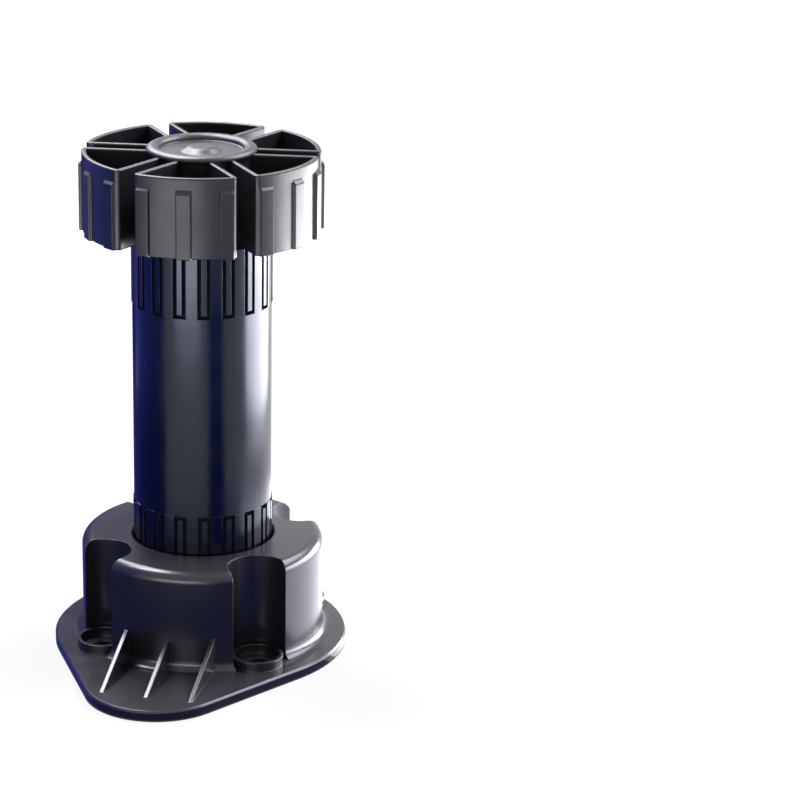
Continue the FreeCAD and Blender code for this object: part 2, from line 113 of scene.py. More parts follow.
# Each row: name, azimuth, distance, height, height of the aim, width, tall, brightness.
SOFTBOXES = [
    ("softbox_right", 42, 0.50, 0.62, 0.06, 0.62, 0.42, 9.0),
    ("softbox_over", 150, 0.30, 0.75, 0.06, 0.34, 0.26, 18.0),
]
MIRRORED_PANELS = [
    ("panel_right_low", 31, 0.19, 0.026, 0.026, 0.22, 0.050, 12.0),
    ("panel_right_high", 33, 0.19, 0.063, 0.063, 0.22, 0.024, 26.0),
    ("panel_front", 264, 0.22, 0.052, 0.052, 0.17, 0.044, 7.5),
    ("panel_over", 145, 0.22, 0.33, 0.03, 0.30, 0.28, 8.0),
]
for row in SOFTBOXES:
    add_softbox(*row)
for row in MIRRORED_PANELS:
    panel = add_softbox(*row)
    panel.visible_diffuse = False
print(len(SOFTBOXES), "softboxes and", len(MIRRORED_PANELS), "panels for the gloss")


# %% [markdown]
# The surroundings are white wherever the camera looks and wherever the gloss mirrors them. A
# room that is as white for the light that falls on the leg would wash the soft shadow away. So
# the world's strength follows the kind of ray: full for rays that see it, a tenth for those
# that gather light. World and materials are made of shader nodes, and the helpers here keep
# that code short: an input is named, and given a value or another node's output.

# %% Surroundings
WHITE = (1.0, 1.0, 1.0, 1.0)
SURROUND_LIGHT = 0.1


def fill_inputs(tree, node, inputs):
    """Fill a node's inputs, by name or number: values are set, outputs of nodes are linked."""
    for key, value in inputs.items():
        if isinstance(value, bpy.types.NodeSocket):
            tree.links.new(value, node.inputs[key])
        else:
            node.inputs[key].default_value = value


def add_node(tree, kind, inputs, **settings):
    """A shader node of a kind, with its settings made and its inputs filled."""
    node = tree.nodes.new("ShaderNode" + kind)
    for name, value in settings.items():
        setattr(node, name, value)
    fill_inputs(tree, node, inputs)
    return node


def add_math(tree, operation, first, second):
    """One math step; either side is a number or another node's output."""
    return add_node(tree, "Math", {0: first, 1: second}, operation=operation).outputs[0]


def add_ramp(tree, value, start, end, **settings):
    """A ramp between two points (value, result), level before the first and after the last."""
    inputs = {"From Min": start[0], "To Min": start[1], "From Max": end[0], "To Max": end[1]}
    return add_node(tree, "MapRange", {"Value": value, **inputs}, **settings).outputs["Result"]


def seen_directly(tree):
    """A value that is 1 for camera, glossy and transmission rays and 0 for all others."""
    path = add_node(tree, "LightPath", {}).outputs
    camera_or_glossy = add_math(tree, "MAXIMUM", path["Is Camera Ray"], path["Is Glossy Ray"])
    return add_math(tree, "MAXIMUM", camera_or_glossy, path["Is Transmission Ray"])


world = bpy.data.worlds.new("studio")
bpy.context.scene.world = world
world.use_nodes = True
world_tree = world.node_tree
strength = add_ramp(world_tree, seen_directly(world_tree), (0.0, SURROUND_LIGHT), (1.0, 1.0))
fill_inputs(world_tree, world_tree.nodes["Background"], {"Color": WHITE, "Strength": strength})
print("surroundings: 1 where they are seen,", SURROUND_LIGHT, "where they light")


# %% [markdown]
# The leg stands on a white table, a plane that is wide enough to have no edge in the picture.
# On a plain white paint its shadow would be deep, and in the photograph it is faint. So the
# paint is a grey that takes the shadow, plus a glow that lifts it to white. The glow is weaker
# near the leg, because a table that is brighter than white shows no shadow at all.

# %% Floor
FLOOR_REACH = 4.0
FLOOR_COLOUR = (0.2, 0.2, 0.2, 1.0)
LIFT_NEAR = (0.08, 0.78)
LIFT_FAR = (0.36, 0.96)


def new_paint(name):
    """A material without shaders, its node tree and its output node."""
    paint = bpy.data.materials.new(name)
    paint.use_nodes = True
    paint.node_tree.nodes.clear()
    return paint, paint.node_tree, add_node(paint.node_tree, "OutputMaterial", {})


def add_flat(name, corners, faces, paint):
    """An object from an array of corner points and from faces that list corner numbers."""
    mesh = bpy.data.meshes.new(name)
    mesh.from_pydata(corners.tolist(), [], faces)
    mesh.materials.append(paint)
    return add_object(name, mesh)


floor_paint, floor_tree, floor_out = new_paint("floor_paint")
floor_place = add_node(floor_tree, "TexCoord", {}).outputs["Object"]
distance = add_node(floor_tree, "VectorMath", {0: floor_place}, operation="LENGTH").outputs["Value"]
lift = add_ramp(floor_tree, distance, LIFT_NEAR, LIFT_FAR, interpolation_type="SMOOTHSTEP")
lift_seen = add_math(floor_tree, "MULTIPLY", seen_directly(floor_tree), lift)
glow = add_node(floor_tree, "Emission", {"Strength": lift_seen})
diffuse = add_node(floor_tree, "BsdfDiffuse", {"Color": FLOOR_COLOUR})
both = add_node(floor_tree, "AddShader", {0: diffuse.outputs[0], 1: glow.outputs[0]})
fill_inputs(floor_tree, floor_out, {"Surface": both.outputs[0]})

corner_signs = np.array([(-1, -1), (1, -1), (1, 1), (-1, 1)], float)
floor_corners = np.column_stack([corner_signs * FLOOR_REACH, np.zeros(4)])
floor = add_flat("floor", floor_corners, [(0, 1, 2, 3)], floor_paint)
print("floor", 2 * FLOOR_REACH, "m wide")


# %% [markdown]
# On a white table a black tube gets a pale edge where it mirrors the table at a flat angle. A
# photographer keeps such an edge dark with cards that stand beside the object. These cards
# glow in a deep blue, because the dark side of the plastic is a blue black in the photograph.
# Real cards would also show in other views and throw shadows. So only mirrored rays meet
# these.

# %% Cards
CARD_BOTTOM = 0.001
RAYS_THAT_MISS = ("camera", "diffuse", "transmission", "volume_scatter", "shadow")


def add_stage_glow(name, corners, faces, colour, strength=1.0):
    """A studio surface of an even glow, met by mirrored rays alone."""
    paint, tree, out = new_paint(name)
    glow = add_node(tree, "Emission", {"Color": colour, "Strength": strength})
    fill_inputs(tree, out, {"Surface": glow.outputs[0]})
    card = add_flat(name, corners, faces, paint)
    for ray in RAYS_THAT_MISS:
        setattr(card, "visible_" + ray, False)


def add_card(name, azimuth, distance, width, tall, colour):
    """A card that stands on the floor at an azimuth round the leg and faces its axis."""
    turn = math.radians(azimuth)
    middle = np.array([math.cos(turn), math.sin(turn)]) * distance
    across = np.array([-math.sin(turn), math.cos(turn)]) * width / 2
    ends = [middle - across, middle + across, middle + across, middle - across]
    corners = np.column_stack([ends, [CARD_BOTTOM, CARD_BOTTOM, tall, tall]])
    add_stage_glow(name, corners, [(0, 1, 2, 3)], colour)


# Each row: name, azimuth, distance, width, tall, colour.
CARDS = [
    ("card_left", 186, 0.20, 0.33, 0.30, (0.12, 0.16, 0.9, 1.0)),
    ("card_back_left", 127, 0.24, 0.17, 0.15, (0.02, 0.02, 0.20, 1.0)),
    ("card_front_right", 308, 0.22, 0.09, 0.045, (0.04, 0.14, 0.7, 1.0)),
]
for row in CARDS:
    add_card(*row)
print("cards:", ", ".join(row[0] for row in CARDS))


# %% [markdown]
# From the camera, which looks down a little, the upright faces mirror the table. A dark cloth
# on it keeps the front and the left side black, and a bright sheet lights up the right side.
# Both are fans round the leg: a reach for each direction is easier to place than the corners
# of a rectangle. The cloth reaches far behind the leg at the left, and has an arm on each side
# of the front.

# %% Cloth and bright sheet
SHEET_HEIGHT = 0.0004
CLOTH_REACH = 0.11
ARM_REACH = 0.22
BACK_REACH = 0.40
CLOTH_START = 97
BACK_END = 150
LEFT_ARM_END = 228
RIGHT_ARM_START = 296
RIGHT_ARM_END = 322
CLOTH_END = 345
CLOTH_POINTS = 125
SHEET_REACH = 0.12
SHEET_START = -10
SHEET_END = 85
SHEET_POINTS = 20
SHEET_STRENGTH = 4.0


def add_sheet(name, turns, reach, colour, strength=1.0):
    """A sheet on the table in the shape of a fan: its reach at each azimuth, in metres."""
    turns = np.radians(turns)
    rim = reach * np.stack([np.cos(turns), np.sin(turns)])
    heights = np.full(len(turns) + 1, SHEET_HEIGHT)
    points = np.column_stack([np.vstack([[0, 0], rim.T]), heights])
    faces = [(0, index, index + 1) for index in range(1, len(turns))]
    add_stage_glow(name, points, faces, colour, strength)


cloth_turn = np.linspace(CLOTH_START, CLOTH_END, CLOTH_POINTS)
in_left_arm = cloth_turn < LEFT_ARM_END
in_right_arm = (cloth_turn > RIGHT_ARM_START) & (cloth_turn < RIGHT_ARM_END)
cloth_reach = np.where(in_left_arm | in_right_arm, ARM_REACH, CLOTH_REACH)
cloth_reach = np.where(cloth_turn < BACK_END, BACK_REACH, cloth_reach)
add_sheet("dark_cloth", cloth_turn, cloth_reach, (0.04, 0.05, 0.36, 1.0))
sheet_turn = np.linspace(SHEET_START, SHEET_END, SHEET_POINTS)
add_sheet("bright_sheet", sheet_turn, SHEET_REACH, (0.9, 0.9, 1.0, 1.0), SHEET_STRENGTH)
print("cloth", CLOTH_REACH, "to", BACK_REACH, "m round the leg, sheet to", SHEET_REACH, "m")


# %% [markdown]
# All three mouldings are black polypropylene from polished and from spark-eroded moulds. The
# mould leaves a skin: a fine grain, a slow waviness, and patches of more and less gloss. It
# could be painted as an image, but then each piece would have to be unwrapped. Noise that
# reads Object coordinates needs no unwrapping and rides with its piece. Every finish uses this
# skin, so it is a shader node group that is built once.

# %% Mould skin
GRAIN_SCALE = 2600.0
GRAIN_DETAIL = 2.0
WAVE_SCALE = 45.0
MOTTLE_SCALE = 120.0
SLOW_DETAIL = 1.0


def new_group(name, inputs, outputs):
    """A shader node group with float inputs (name, value) and outputs (name, socket type)."""
    group = bpy.data.node_groups.new(name, "ShaderNodeTree")
    for label, value in inputs:
        socket = group.interface.new_socket(
            name=label, in_out="INPUT", socket_type="NodeSocketFloat"
        )
        socket.default_value = value
    for label, kind in outputs:
        group.interface.new_socket(name=label, in_out="OUTPUT", socket_type=kind)
    enter = group.nodes.new("NodeGroupInput")
    leave = group.nodes.new("NodeGroupOutput")
    return group, enter, leave


def add_noise(tree, place, scale, detail):
    """Noise of a scale at a place, which is another node's output."""
    noise = add_node(tree, "TexNoise", {"Vector": place, "Scale": scale, "Detail": detail})
    return noise.outputs["Fac"]


def build_mould_skin():
    """Height = fine grain + slow waviness; mottle = patches of more and less gloss."""
    group, enter, leave = new_group(
        "mould_skin",
        [("Grain", 0.4), ("Waviness", 0.5)],
        [("Height", "NodeSocketFloat"), ("Mottle", "NodeSocketFloat")],
    )
    place = add_node(group, "TexCoord", {}).outputs["Object"]
    grain = add_noise(group, place, GRAIN_SCALE, GRAIN_DETAIL)
    wave = add_noise(group, place, WAVE_SCALE, SLOW_DETAIL)
    mottle = add_noise(group, place, MOTTLE_SCALE, SLOW_DETAIL)
    grain_height = add_math(group, "MULTIPLY", grain, enter.outputs["Grain"])
    wave_height = add_math(group, "MULTIPLY", wave, enter.outputs["Waviness"])
    height = add_math(group, "ADD", grain_height, wave_height)
    fill_inputs(group, leave, {"Height": height, "Mottle": mottle})
    return group


mould_skin = build_mould_skin()
print("shared effect:", mould_skin.name)


# %% [markdown]
# A painted highlight: the edges of a moulding are a little paler in colour, where a thin line
# of light would lie. The pale lines could be painted by hand, edge by edge. A Bevel node finds
# the edges by itself: it gives the normal that a rounded edge would have, and the further this
# leaves the face's own normal, the nearer is an edge. Noise breaks the line up. The rounded
# normal is put out as well, so that edges which are sharp in the mesh still catch the light.

# %% Painted edge sheen
BEVEL_SAMPLES = 6
# How strongly the edges are painted pale as a highlight.
SHEEN_GAIN = 6.0
BREAKS_SCALE = 900.0
BREAKS_DETAIL = 3.0


def build_edge_sheen():
    """Mask = how far the rounded normal leaves the face's own, broken up by noise."""
    group, enter, leave = new_group(
        "edge_sheen",
        [("Width", 0.0004), ("Breaks", 0.5)],
        [("Mask", "NodeSocketFloat"), ("Soft Normal", "NodeSocketVector")],
    )
    bevel = add_node(group, "Bevel", {"Radius": enter.outputs["Width"]}, samples=BEVEL_SAMPLES)
    soft_normal = bevel.outputs["Normal"]
    own_normal = add_node(group, "NewGeometry", {}).outputs["Normal"]
    normals = {0: soft_normal, 1: own_normal}
    alike = add_node(group, "VectorMath", normals, operation="DOT_PRODUCT").outputs["Value"]
    turned = add_math(group, "SUBTRACT", 1.0, alike)
    amount = add_math(group, "MULTIPLY", turned, SHEEN_GAIN)
    place = add_node(group, "TexCoord", {}).outputs["Object"]
    noise = add_noise(group, place, BREAKS_SCALE, BREAKS_DETAIL)
    broken = add_math(group, "MULTIPLY", noise, enter.outputs["Breaks"])
    kept = add_math(group, "SUBTRACT", 1.0, broken)
    mask = add_math(group, "MINIMUM", add_math(group, "MULTIPLY", amount, kept), 1.0)
    fill_inputs(group, leave, {"Mask": mask, "Soft Normal": soft_normal})
    return group


edge_sheen = build_edge_sheen()
print("shared effect:", edge_sheen.name)


# %% [markdown]
# Each finish is one Principled shader. Its colour goes from the black of the plastic to a
# paler black on the edges, a painted highlight. Its roughness moves a little with the mottle,
# and its normal carries the grain. One finish could serve all three mouldings, but in the
# photograph the tube is the smoothest of them and the foot the dullest. The gloss has a faint
# blue tint, strongest on the tube, as carbon black in plastic looks in cool light. The bottoms
# of the tube's grooves, which no polishing tool reaches in the mould, are matt.

# %% Finishes
# The paler black of the painted edge highlight.
PAINTED_EDGE_SHEEN = (0.060, 0.060, 0.070, 1.0)
PLASTIC_IOR = 1.5
WAVINESS = 0.4
SKIN_HEIGHT = 0.00003
MOTTLE_RANGE = (0.3, 0.7)
MATT = 0.85
WITHOUT_HEIGHT = (1.0, 1.0, 0.0)


def add_axis_distance(tree):
    """Distance from the leg's axis: the length of a point's place with its height left out."""
    place = add_node(tree, "TexCoord", {}).outputs["Object"]
    level = add_node(tree, "VectorMath", {0: place, 1: WITHOUT_HEIGHT}, operation="MULTIPLY")
    length = add_node(tree, "VectorMath", {0: level.outputs["Vector"]}, operation="LENGTH")
    return length.outputs["Value"]


def build_finish(name, black, tint, gloss, grain, sheen_width, matt_within=0.0):
    """A black moulded finish. gloss = (smoothest, roughest). Both lengths are in metres: the
    width of the highlight painted on the edges, and how far from the leg's axis the plastic is
    matt."""
    material = bpy.data.materials.new(name)
    material.use_nodes = True
    tree = material.node_tree
    skin_values = {"Grain": grain, "Waviness": WAVINESS}
    skin = add_node(tree, "Group", skin_values, node_tree=mould_skin).outputs
    sheen = add_node(tree, "Group", {"Width": sheen_width}, node_tree=edge_sheen).outputs
    # Painted highlight: along the edges the colour turns to the paler black.
    blacks = {"Factor": sheen["Mask"], "A": black, "B": PAINTED_EDGE_SHEEN}
    colour = add_node(tree, "Mix", blacks, data_type="RGBA").outputs["Result"]
    smoothest, roughest = zip(MOTTLE_RANGE, gloss)
    roughness = add_ramp(tree, skin["Mottle"], smoothest, roughest)
    if matt_within:
        within = add_math(tree, "LESS_THAN", add_axis_distance(tree), matt_within)
        matt = add_math(tree, "MULTIPLY", within, MATT)
        roughness = add_math(tree, "MAXIMUM", matt, roughness)
    relief = {"Distance": SKIN_HEIGHT, "Height": skin["Height"], "Normal": sheen["Soft Normal"]}
    normal = add_node(tree, "Bump", relief).outputs["Normal"]
    surface = {"Base Color": colour, "Roughness": roughness, "Normal": normal}
    optics = {"Specular Tint": tint, "IOR": PLASTIC_IOR}
    fill_inputs(tree, tree.nodes["Principled BSDF"], {**surface, **optics})
    return material


plate_finish = build_finish(
    "plate_black",
    black=(0.040, 0.040, 0.048, 1.0),
    tint=(0.88, 0.88, 1.0, 1.0),
    gloss=(0.22, 0.268),
    grain=0.08,
    sheen_width=0.0003,
)
tube_finish = build_finish(
    "tube_black",
    black=(0.002, 0.004, 0.016, 1.0),
    tint=(0.72, 0.78, 1.0, 1.0),
    gloss=(0.18, 0.24),
    grain=0.3,
    sheen_width=0.0001,
    matt_within=0.0171,
)
foot_finish = build_finish(
    "foot_black",
    black=(0.020, 0.020, 0.026, 1.0),
    tint=(0.95, 0.93, 1.0, 1.0),
    gloss=(0.31, 0.39),
    grain=0.5,
    sheen_width=0.0002,
)
FINISH_OF_NODE = {
    "mounting_plate": plate_finish,
    "leg_tube": tube_finish,
    "adjusting_foot": foot_finish,
}
for node, finish in FINISH_OF_NODE.items():
    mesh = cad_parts[node].data
    mesh.materials.clear()
    mesh.materials.append(finish)
print("finishes:", ", ".join(finish.name for finish in FINISH_OF_NODE.values()))


# %% [markdown]
# The pieces that follow are surfaces on a grid: one direction runs along a section, the other
# along the path that the section is carried along. They could be modelled by hand, with
# extrusions, but a grid keeps its formula in sight and closes exactly. The helpers name the
# faces between neighbouring points, close the first and last ring with a pole each, and make
# the object. A closed surface with its faces outwards has a positive volume, and this tells
# whether all its faces have to be turned round.

# %% Grids and pieces
MM = 0.001
MM3_IN_CM3 = 1000
SHARP_ANGLE = math.radians(40)


def grid_faces(rows, columns, rows_close, columns_close):
    """Four-sided faces between neighbouring points of a grid that is numbered row by row."""
    row = np.arange(rows if rows_close else rows - 1)
    column = np.arange(columns if columns_close else columns - 1)
    r, c = np.meshgrid(row, column, indexing="ij")
    here = r * columns
    above = (r + 1) % rows * columns
    beside = (c + 1) % columns
    corners = [here + c, here + beside, above + beside, above + c]
    return np.stack([corner.ravel() for corner in corners], axis=1)


def pole_faces(ring_start, columns, pole, outward):
    """Triangles from a ring of points to one pole point."""
    here = ring_start + np.arange(columns)
    there = ring_start + (np.arange(columns) + 1) % columns
    pair = (there, here) if outward else (here, there)
    return np.stack([pair[0], pair[1], np.full(columns, pole)], axis=1)


def closed_rings(rings, first_pole, last_pole):
    """Points and faces of rings of points that follow each other from pole to pole."""
    count, columns = rings.shape[:2]
    points = np.concatenate([rings.reshape(-1, 3), [first_pole, last_pole]])
    faces = [
        grid_faces(count, columns, False, True),
        pole_faces(0, columns, count * columns, True),
        pole_faces((count - 1) * columns, columns, count * columns + 1, False),
    ]
    return points, faces


def joined(parts):
    """One set of points and faces from several, each with its faces numbered from 0."""
    points = []
    faces = []
    count = 0
    for part_points, part_faces in parts:
        points.append(part_points)
        faces.extend(corners + count for corners in part_faces)
        count += len(part_points)
    return np.concatenate(points), faces


def triangles_of(faces):
    """All faces as triangles, each face as a fan from its first corner."""
    fans = []
    for part in faces:
        fans.extend(part[:, [0, i, i + 1]] for i in range(1, part.shape[1] - 1))
    return np.concatenate(fans)


def volume_of(points, triangles):
    """Signed volume inside a closed surface: positive if its faces look outwards."""
    a, b, c = (points[triangles[:, i]] for i in range(3))
    return float(np.einsum("ij,ij->i", a, np.cross(b, c)).sum() / 6)


def add_piece(name, shape, material, body):
    """A smooth-shaded object from a shape: points in millimetres and lists of faces."""
    points, faces = shape
    triangles = triangles_of(faces)
    volume = volume_of(points, triangles)
    if volume < 0:
        faces = [part[:, ::-1] for part in faces]
    mesh = bpy.data.meshes.new(name)
    corners = [face for part in faces for face in part.tolist()]
    mesh.from_pydata((points * MM).tolist(), [], corners)
    mesh.shade_smooth()
    mesh.set_sharp_from_angle(angle=SHARP_ANGLE)
    mesh.materials.append(material)
    piece = add_object(name, mesh)
    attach(piece, body)
    print(f"{name}: {len(triangles)} triangles, {abs(volume) / MM3_IN_CM3:.2f} cubic cm")
    return piece


print("a closed grid of 3 by 4 points has", len(grid_faces(3, 4, True, True)), "faces")


# %% [markdown]
# No edge of a moulding is quite sharp, and black plastic is read by the thin lights on its
# edges. A Bevel modifier could round them afterwards. Here a section is rounded before it is
# carried along, so that each arc has the points that it needs and a flat takes a single step.

# %% Rounded sections
ARC_STEPS = 6
SUPPORT = 0.06


def rounded_line(corners):
    """A line through corners (x, y, rounding), with an arc of that radius at each inner corner
    and one more point just outside each arc, which keeps the shading of the flats flat. The
    arc's points are a blend of its two ends by the sines of the angles to either side."""
    corners = np.array(corners, float)
    share = np.linspace(0, 1, ARC_STEPS + 1)[:, None]
    points = [corners[0, :2]]
    for before, corner, after in zip(corners[:-2], corners[1:-1], corners[2:]):
        place, radius = corner[:2], corner[2]
        if radius == 0:
            points.append(place)
            continue
        back = (before[:2] - place) / np.linalg.norm(before[:2] - place)
        ahead = (after[:2] - place) / np.linalg.norm(after[:2] - place)
        half = math.acos(np.clip(back @ ahead, -1, 1)) / 2
        reach = radius / math.tan(half)
        middle = (back + ahead) / np.linalg.norm(back + ahead)
        centre = place + middle * radius / math.sin(half)
        start = place + back * reach - centre
        end = place + ahead * reach - centre
        sweep = math.pi - 2 * half
        arc = (np.sin((1 - share) * sweep) * start + np.sin(share * sweep) * end) / math.sin(sweep)
        points.append(place + back * (reach + SUPPORT))
        points.extend(centre + arc)
        points.append(place + ahead * (reach + SUPPORT))
    points.append(corners[-1, :2])
    return np.array(points)


sample = rounded_line([(0, 0, 0), (5, 0, 1), (5, 5, 0)])
print("one rounded corner and two ends are", len(sample), "points")


# %% [markdown]
# The foot's lobes are six thin-walled cells with slots between them. Seen from above, each is
# a sixth of a ring with rounded outer corners, and its sides run parallel to the slots. One
# outline could be drawn and scaled down for the inside of the wall, but scaling would make the
# wall uneven. So the outline is worked out anew for each inset. The number of its points stays
# the same, and points lie close together where a grip pad will begin and end.

# %% Lobe outline
LOBE_COUNT = 6
HALF_LOBE = math.pi / LOBE_COUNT
LOBE_RADIUS = 29.2
LOBE_CORNER = 1.2
LEAST_CORNER = 0.12
LOBE_ROOT = 11.2
SLOT_SIDE = 2.2
PAD_TURN = math.radians(20)
PAD_HALF = 1.75
PAD_EDGE = 0.3
OUTER_POINTS = 61
PAD_SIDE_POINTS = 9
CORNER_POINTS = 14
FLANK_POINTS = 12
ROOT_POINTS = 9
ANGLE_DIGITS = 5


def lobe_shares():
    """Places along the lobe's outer arc, from -1 to 1: even ones and those at the pads' sides.
    Places that are the same to five digits are one."""
    edge = math.asin((SLOT_SIDE + LOBE_CORNER) / (LOBE_RADIUS - LOBE_CORNER))
    limit = HALF_LOBE - edge
    near_edge = np.linspace(-PAD_EDGE, PAD_EDGE, PAD_SIDE_POINTS)
    sides = np.concatenate([near_edge - PAD_HALF, near_edge + PAD_HALF]) / LOBE_RADIUS
    pads = (np.array([-1, 0, 1])[:, None] * PAD_TURN + sides).ravel()
    even = np.linspace(-limit, limit, OUTER_POINTS)
    angles = np.concatenate([even, pads[np.abs(pads) < limit]])
    return np.unique(np.round(angles, ANGLE_DIGITS)) / limit


LOBE_SHARES = lobe_shares()


def on_circle(radius, angle):
    """Points in a plane at a radius and at several angles."""
    return radius * np.stack([np.cos(angle), np.sin(angle)], axis=1)


def lobe_outline(inset):
    """The lobe's outline, drawn in by an inset: an outer arc, two rounded corners, two sides
    parallel to the slots and an arc inside the hub that closes it."""
    side = SLOT_SIDE + inset
    radius = LOBE_RADIUS - inset
    corner = max(LOBE_CORNER - inset, LEAST_CORNER)
    root = LOBE_ROOT + inset
    middle = radius - corner
    edge = HALF_LOBE - math.asin((side + corner) / middle)
    outer = on_circle(radius, LOBE_SHARES * edge)
    ray = np.array([math.cos(HALF_LOBE), math.sin(HALF_LOBE)])
    inwards = np.array([ray[1], -ray[0]])
    centre = ray * math.sqrt(middle**2 - (side + corner) ** 2) + inwards * (side + corner)
    first = math.atan2(centre[1], centre[0])
    corner_angle = np.linspace(first, HALF_LOBE + math.pi / 2, CORNER_POINTS)[1:]
    round_corner = centre + on_circle(corner, corner_angle)
    near_end = ray * math.sqrt(root**2 - side**2) + inwards * side
    share = np.linspace(0, 1, FLANK_POINTS)[1:, None]
    flank = round_corner[-1] * (1 - share) + near_end * share
    half = np.concatenate([round_corner, flank])
    root_edge = math.atan2(near_end[1], near_end[0])
    root_angle = np.linspace(root_edge, -root_edge, ROOT_POINTS)[1:-1]
    closing = on_circle(root, root_angle)
    mirrored = half[::-1] * np.array([1, -1])
    return np.concatenate([outer, half, closing, mirrored])


print("the lobe's outline has", len(lobe_outline(0.0)), "points")


# %% [markdown]
# Each cell is a thin wall that ends in a rounded lip, and the lip draws the thin bright lines
# of the photograph. A Solidify modifier could give the wall its thickness, but its rim would
# be flat. So the section itself goes up the outside, over the lip and down to the cell's
# floor. Three grip pads stand on each outer wall and end in a ramp. They could be pieces of
# their own, but then a seam would show. Here they push the wall outwards where they lie.

# %% Lobe section and grip pads
LOBE_HEIGHT = 19.8
LOBE_WALL = 1.25
LOBE_FLOOR = 1.8
LIP_ROUNDING = 0.42
UNDERSIDE_INSET = 4.0
UNDERSIDE_ROUNDING = 0.3
FLOOR_INSET = 3.4
FLOOR_ROUNDING = 0.6
PAD_HEIGHT = 0.8
PAD_TOP = 16.8
RAMP_MARGIN = 0.3
RAMP_POINTS = 12
ROW_BELOW_PAD = 1.5
ROW_ABOVE_PAD = 0.6
PUSHED_LAYER = 1.0
PUSHED_BLEND = 0.6


def smooth_step(value):
    """0 below 0, 1 above 1 and a soft S between."""
    value = np.clip(value, 0, 1)
    return value * value * (3 - 2 * value)


def pad_push(outline, height):
    """How far the grip pads push a point outwards: a box across each pad, with soft edges,
    times a ramp of 45 degrees at the pad's upper end, on the wall's outermost layer alone."""
    angle = np.arctan2(outline[:, 1], outline[:, 0])
    radius = np.hypot(outline[:, 0], outline[:, 1])
    nearest = np.round(angle / PAD_TURN) * PAD_TURN
    across = np.abs(np.sin(angle - nearest)) * radius
    box = smooth_step((PAD_HALF - across) / PAD_EDGE + 0.5)
    ramp = np.clip((PAD_TOP - height) / PAD_HEIGHT, 0, 1)
    outside = smooth_step((radius - LOBE_RADIUS + PUSHED_LAYER) / PUSHED_BLEND)
    return PAD_HEIGHT * box * ramp * outside


def lobe_section():
    """The section (inset, height) from the underside over wall and lip to the cell's floor."""
    underside = rounded_line(
        [
            (UNDERSIDE_INSET, 0, 0),
            (0, 0, UNDERSIDE_ROUNDING),
            (0, PAD_TOP - ROW_BELOW_PAD, 0),
        ]
    )
    ramp_start = PAD_TOP - PAD_HEIGHT - RAMP_MARGIN
    ramp_rows = np.linspace(ramp_start, PAD_TOP + RAMP_MARGIN, RAMP_POINTS)
    ramp = np.stack([np.zeros(RAMP_POINTS), ramp_rows], axis=1)
    lip = rounded_line(
        [
            (0, PAD_TOP + ROW_ABOVE_PAD, 0),
            (0, LOBE_HEIGHT, LIP_ROUNDING),
            (LOBE_WALL, LOBE_HEIGHT, LIP_ROUNDING),
            (LOBE_WALL, LOBE_FLOOR, FLOOR_ROUNDING),
            (FLOOR_INSET, LOBE_FLOOR, 0),
        ]
    )
    return np.concatenate([underside, ramp, lip])


print("the lobe's section has", len(lobe_section()), "points")


# %% [markdown]
# Now the section's rows become rings: each is the outline at that row's inset and height. The
# pads push only the rows of the outer wall, up to the first one above the ramp. A pole closes
# the underside and another the cell's floor. The finished lobe is turned into its six places.
# An Array modifier could do that with a turned empty, but six turned copies of the points in
# one mesh need no second object.

# %% Foot lobes
def node_size(node):
    """Lowest and highest corner of a node of the leg, in millimetres."""
    low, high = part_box(node)
    return np.array(low) / MM, np.array(high) / MM


foot_low, foot_high = node_size("adjusting_foot")
SPINDLE_LENGTH = 45.0
FOOT_LEVEL = foot_low[2] + SPINDLE_LENGTH
FOOT_ANGLE = math.radians(-81.5)


def build_lobe():
    """Points and faces of one lobe about the X axis: its rings, and a pole at each end."""
    rows = lobe_section()
    last_pushed = np.argmax(rows[:, 1] > PAD_TOP)
    rings = []
    for index, (inset, height) in enumerate(rows):
        outline = lobe_outline(inset)
        if index <= last_pushed:
            outward = outline / np.linalg.norm(outline, axis=1)[:, None]
            outline = outline + outward * pad_push(outline, height)[:, None]
        rings.append(np.column_stack([outline, np.full(len(outline), height)]))
    middle = (LOBE_RADIUS + LOBE_ROOT) / 2
    return closed_rings(np.array(rings), [middle, 0, rows[0, 1]], [middle, 0, rows[-1, 1]])


def turned_about_z(points, angle):
    """Points turned about the leg's axis."""
    c, s = math.cos(angle), math.sin(angle)
    return points @ np.array([[c, s, 0], [-s, c, 0], [0, 0, 1]])


lobe_points, lobe_faces = build_lobe()
lobes = []
for index in range(LOBE_COUNT):
    angle = FOOT_ANGLE + index * 2 * math.pi / LOBE_COUNT
    lobes.append((turned_about_z(lobe_points, angle) + [0, 0, FOOT_LEVEL], lobe_faces))
foot_lobes = add_piece("foot_lobes", joined(lobes), foot_finish, "foot_body")
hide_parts("adjusting_foot")


# %% [markdown]
# The hub and the spindle are one turned form: a hollow spindle, the hub between the lobes, the
# bead that stands on the floor, the dish inside it and the low boss where the mould was
# filled. Each could be a piece of its own, but one section makes them one moulding, as they
# are. Heights count from the level where the foot meets the tube.

# %% Hub section
HUB_RADIUS = 12.9
HUB_TOP = LOBE_HEIGHT - 0.35
BEAD_START = LOBE_HEIGHT - 0.25
BEAD_OVERLAP = 0.05
BEAD_RADIUS = 13.65
BEAD_WIDTH = 3.4
BEAD_TOP = foot_high[2] - FOOT_LEVEL
BEAD_POINTS = 25
DISH_DEPTH = 1.5
DISH_LEVEL = BEAD_TOP - DISH_DEPTH
DISH_WALL = 1.8
DISH_RIM_HEIGHT = 0.15
DISH_RIM_WIDTH = 0.25
BOSS_RADIUS = 5.0
BOSS_HEIGHT = 1.1
BOSS_SLOPE = 1.9
BOSS_LAST_RING = 0.6
SPINDLE_RADIUS = 14.4
SPINDLE_TIP = 0.9
CORE_RADIUS = 10.6
CORE_TOP = DISH_LEVEL - DISH_WALL
CORE_FIRST_RING = 1.0
THREAD_LOW = -43.8
THREAD_HIGH = -1.6
THREAD_POINTS = 200
TIP_TOP = THREAD_LOW - 0.3


